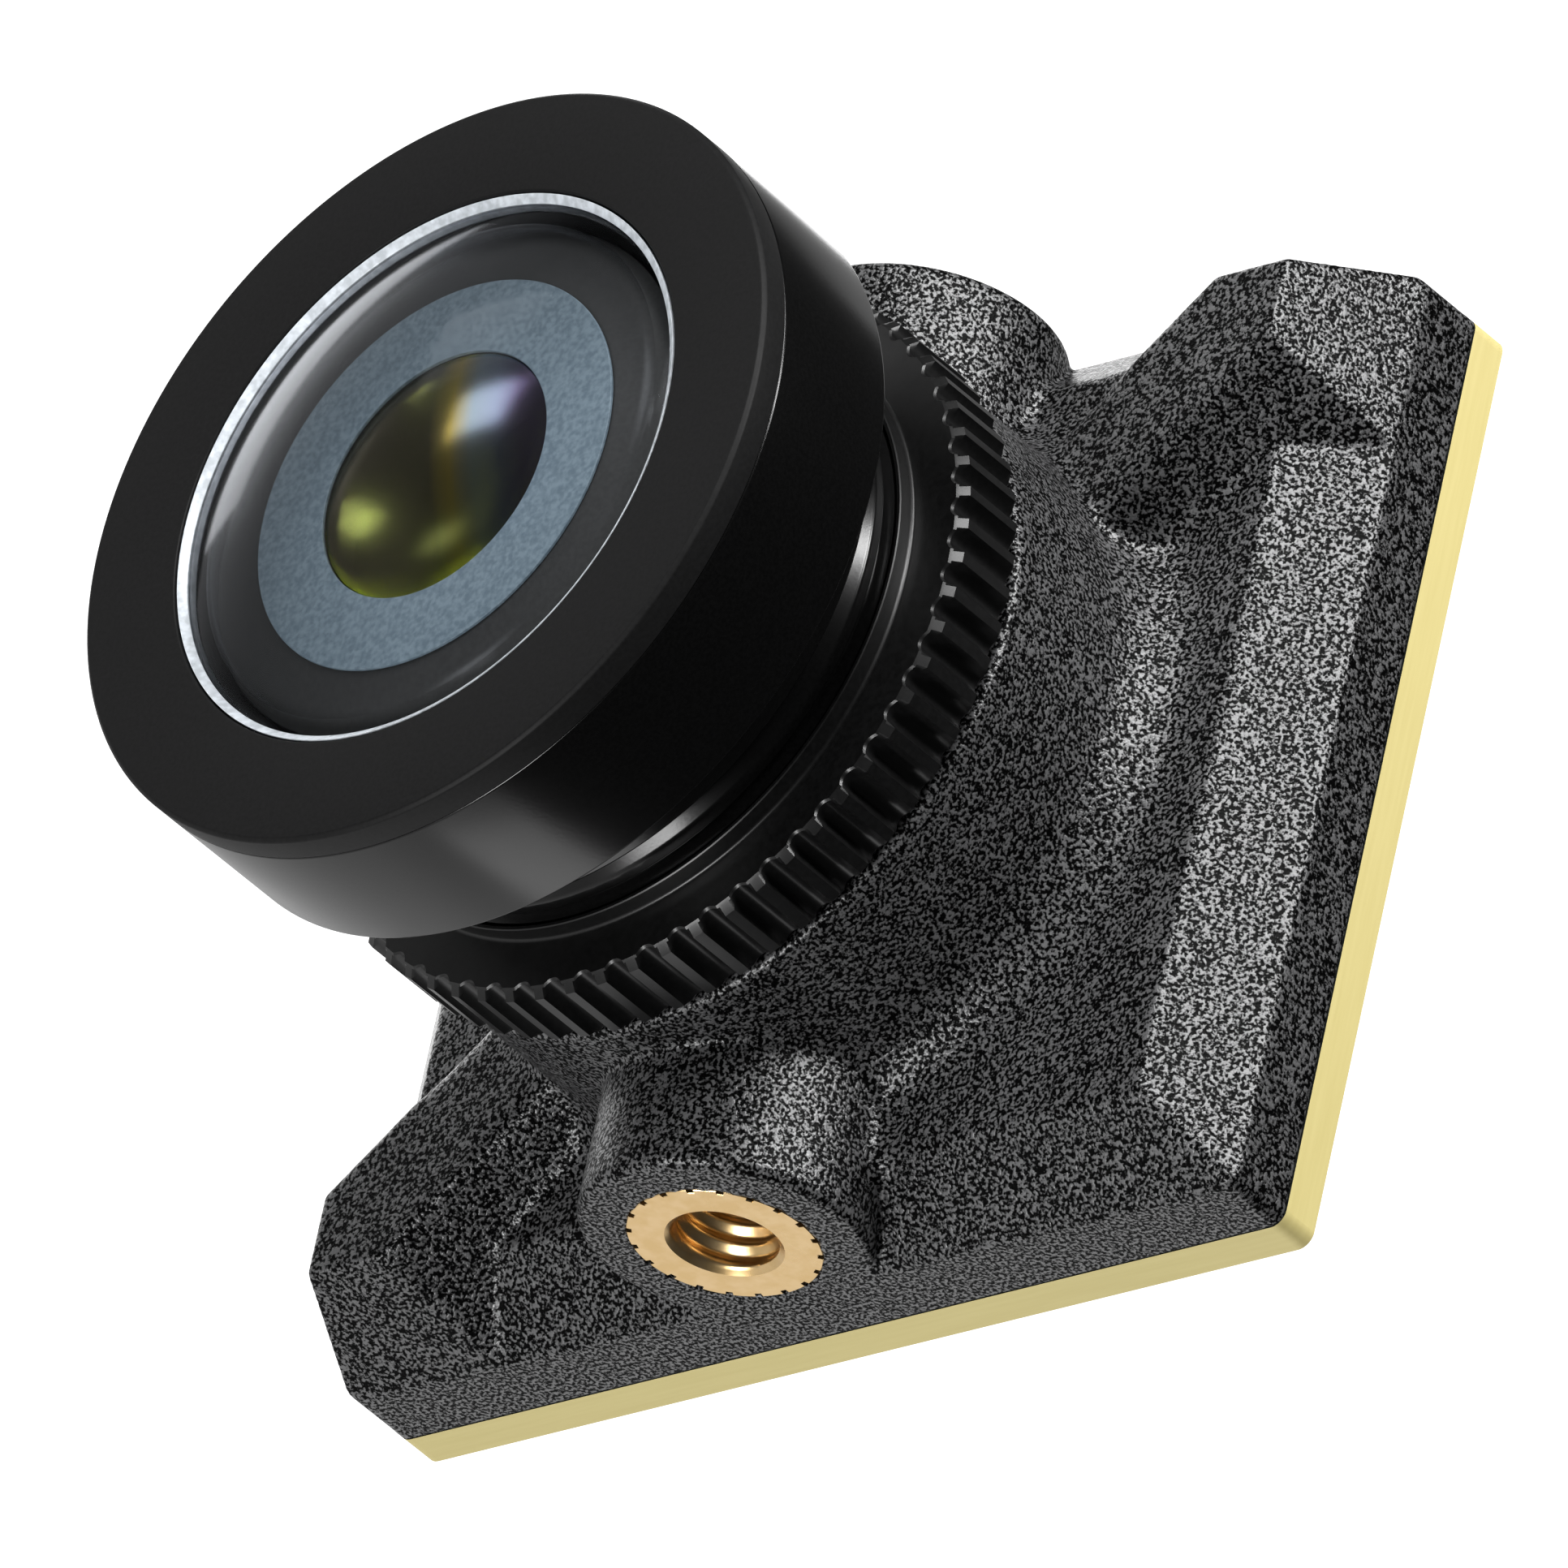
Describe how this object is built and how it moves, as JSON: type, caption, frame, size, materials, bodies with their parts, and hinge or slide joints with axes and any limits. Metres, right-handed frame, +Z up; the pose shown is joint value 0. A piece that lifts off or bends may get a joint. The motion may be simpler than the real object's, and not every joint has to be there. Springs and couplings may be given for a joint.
{
  "type": "board camera",
  "caption": "Small square board camera with a screw-in wide-angle lens, fluted lock ring and threaded side bosses that form its tilt axis.",
  "frame": {"origin": "where the tilt axis through the two side inserts crosses the optical axis", "axes": "+X along the tilt axis, +Z up, the lens looks along -Y"},
  "size_m": [0.019, 0.0202, 0.0206],
  "materials": {
    "sand_black_plastic": "fine spark-eroded texture",
    "brass": "machined face, knurled rim",
    "board_laminate": "glass-fibre laminate, bare edges",
    "screw_steel": "black zinc",
    "sensor_ceramic": "matt ceramic",
    "silicon": "polished, iridescent",
    "clear_glass": "clear",
    "foam_rubber": "soft",
    "chip_plastic": "moulded",
    "can_metal": "satin",
    "capacitor_ceramic": "matt ceramic",
    "connector_plastic": "natural nylon",
    "pin_metal": "tinned",
    "black_anodised": "satin black anodised",
    "baffle_grey": "matt blue-grey",
    "lens_glass": "polished, coated",
    "filter_glass": "coated"
  },
  "bodies": {
    "camera_body": {"front_housing": "sand_black_plastic", "insert_right": "brass", "insert_left": "brass", "circuit_board": "board_laminate", "board_screw_upper": "screw_steel", "board_screw_lower": "screw_steel", "sensor_package": "sensor_ceramic", "sensor_die": "silicon", "sensor_cover_glass": "clear_glass", "dust_gasket": "foam_rubber", "image_processor": "chip_plastic", "crystal_oscillator": "can_metal", "power_inductor": "chip_plastic", "voltage_regulator": "chip_plastic", "memory_chip": "chip_plastic", "capacitor_1": "capacitor_ceramic", "capacitor_2": "capacitor_ceramic", "capacitor_3": "capacitor_ceramic", "capacitor_4": "capacitor_ceramic", "resistor_1": "chip_plastic", "resistor_2": "chip_plastic", "resistor_3": "chip_plastic", "resistor_4": "chip_plastic", "connector_shell": "connector_plastic", "connector_pin_1": "pin_metal", "connector_pin_2": "pin_metal", "connector_pin_3": "pin_metal", "connector_pin_4": "pin_metal", "connector_pin_5": "pin_metal", "connector_pin_6": "pin_metal"},
    "lens_optics": {"dome_glass": "lens_glass", "second_element": "lens_glass", "third_element": "lens_glass", "rear_element": "lens_glass", "infrared_filter": "filter_glass"},
    "lens_barrel": {"lens_barrel": "black_anodised", "front_bezel": "black_anodised", "baffle_ring": "baffle_grey", "front_spacer": "black_anodised", "spacer_ring": "black_anodised", "aperture_stop": "black_anodised", "rear_spacer": "black_anodised", "rear_retainer": "black_anodised"},
    "lock_ring_washer": {"lock_ring_washer": "foam_rubber"},
    "lock_ring": {"lock_ring": "black_anodised"}
  },
  "joints": [
    {"name": "lens_travel", "type": "slide", "parent": "camera_body", "child": "lens_optics", "axis": [0, -1, 0], "range_m": [-0.00025, 0.001]},
    {"name": "lens_turn", "type": "hinge", "parent": "lens_optics", "child": "lens_barrel", "pos_m": [0, 0, 0], "axis": [0, -1, 0], "range_deg": [-180, 720]},
    {"name": "lock_ring_travel", "type": "slide", "parent": "camera_body", "child": "lock_ring_washer", "axis": [0, -1, 0], "range_m": [0, 0.00075]},
    {"name": "lock_ring_turn", "type": "hinge", "parent": "lock_ring_washer", "child": "lock_ring", "pos_m": [0, 0, 0], "axis": [0, -1, 0], "range_deg": [0, 540]}
  ],
  "couplings": [
    {"joint": "lens_turn", "follows": "lens_travel", "rad_per_m": 12566},
    {"joint": "lock_ring_turn", "follows": "lock_ring_travel", "rad_per_m": 12566}
  ]
}
